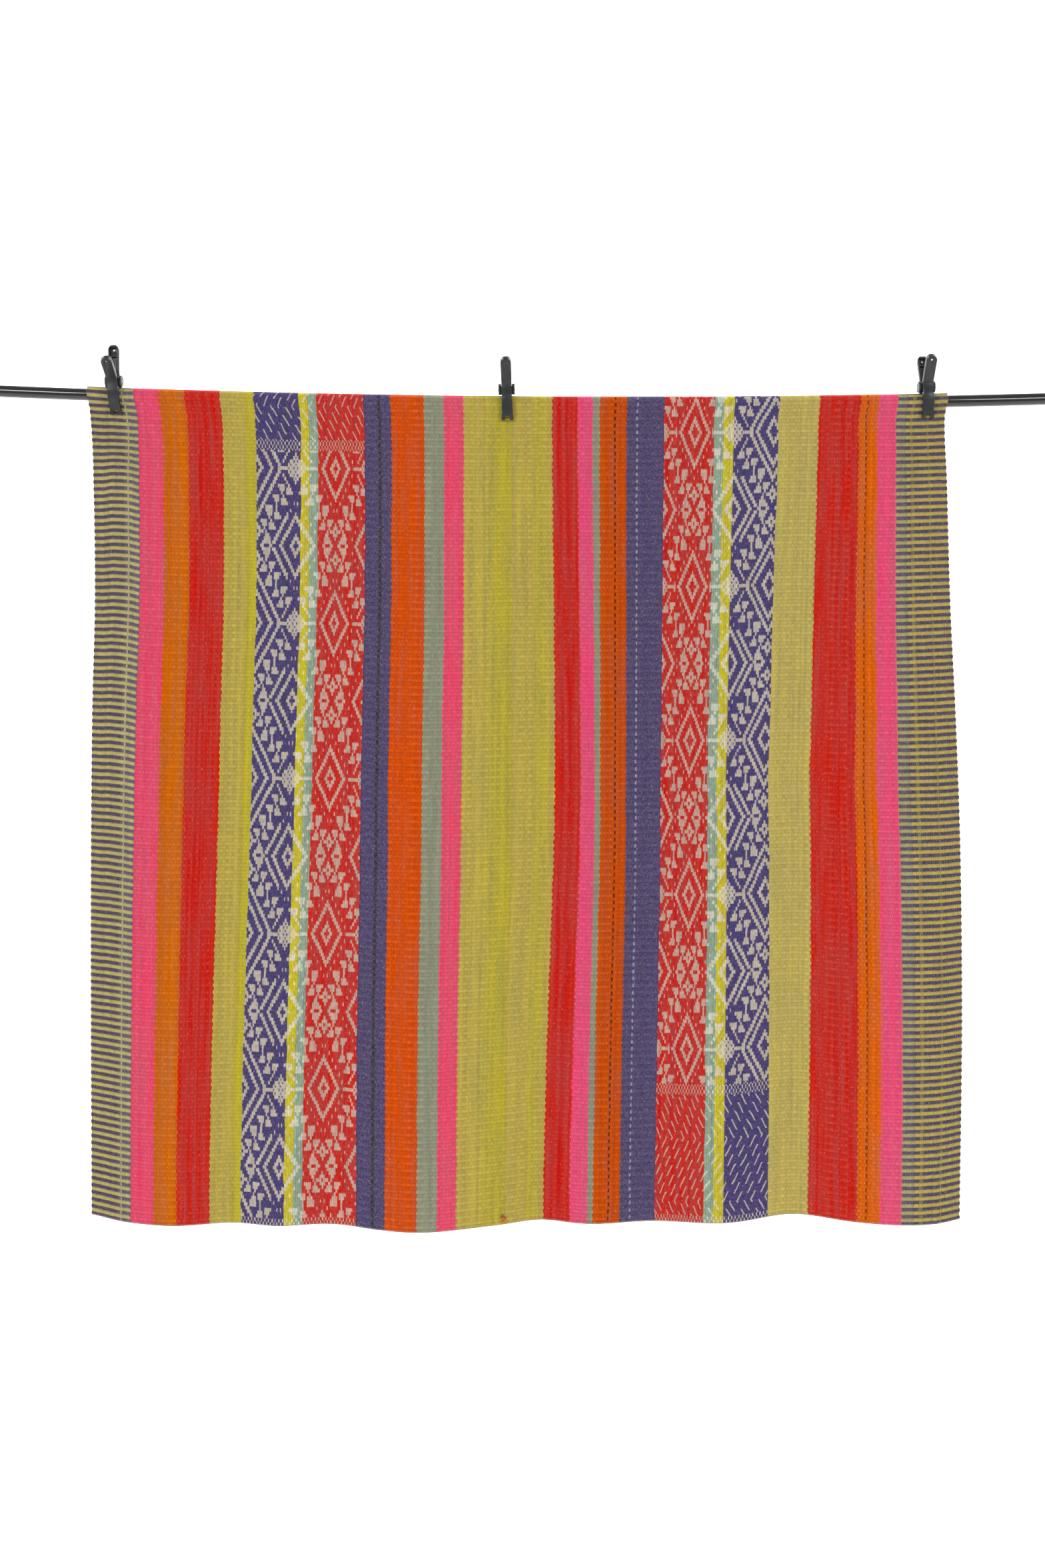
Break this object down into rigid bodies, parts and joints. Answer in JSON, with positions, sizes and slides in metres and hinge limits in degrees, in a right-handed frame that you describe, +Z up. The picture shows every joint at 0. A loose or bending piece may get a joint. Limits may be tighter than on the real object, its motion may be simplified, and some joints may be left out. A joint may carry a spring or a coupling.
{
  "type": "woven rug on rod",
  "caption": "Striped woven rug of loom panels sewn edge to edge, folded over a round rod and held there by spring clamps.",
  "frame": {"origin": "on the rod's axis, halfway between the rod's ends, where the rod is held", "axes": "+Z up, +X along the rod to the right as seen from the front, and the rug's front faces -Y"},
  "size_m": [1.8, 0.0936, 1.4036],
  "materials": {
    "woven_wool": "thick warp-faced wool cloth in bright upright stripes",
    "rod_paint": "smooth glossy black paint",
    "clamp_nylon": "satin black moulded nylon",
    "clamp_steel": "bright drawn steel"
  },
  "bodies": {
    "root": {"panel_left": "woven_wool", "panel_right": "woven_wool", "rod": "rod_paint", "clamp_left_front_lever": "clamp_nylon", "clamp_left_back_lever": "clamp_nylon", "clamp_left_pin": "clamp_steel", "clamp_left_spring": "clamp_steel", "clamp_middle_front_lever": "clamp_nylon", "clamp_middle_back_lever": "clamp_nylon", "clamp_middle_pin": "clamp_steel", "clamp_middle_spring": "clamp_steel", "clamp_right_front_lever": "clamp_nylon", "clamp_right_back_lever": "clamp_nylon", "clamp_right_pin": "clamp_steel", "clamp_right_spring": "clamp_steel"}
  },
  "joints": []
}
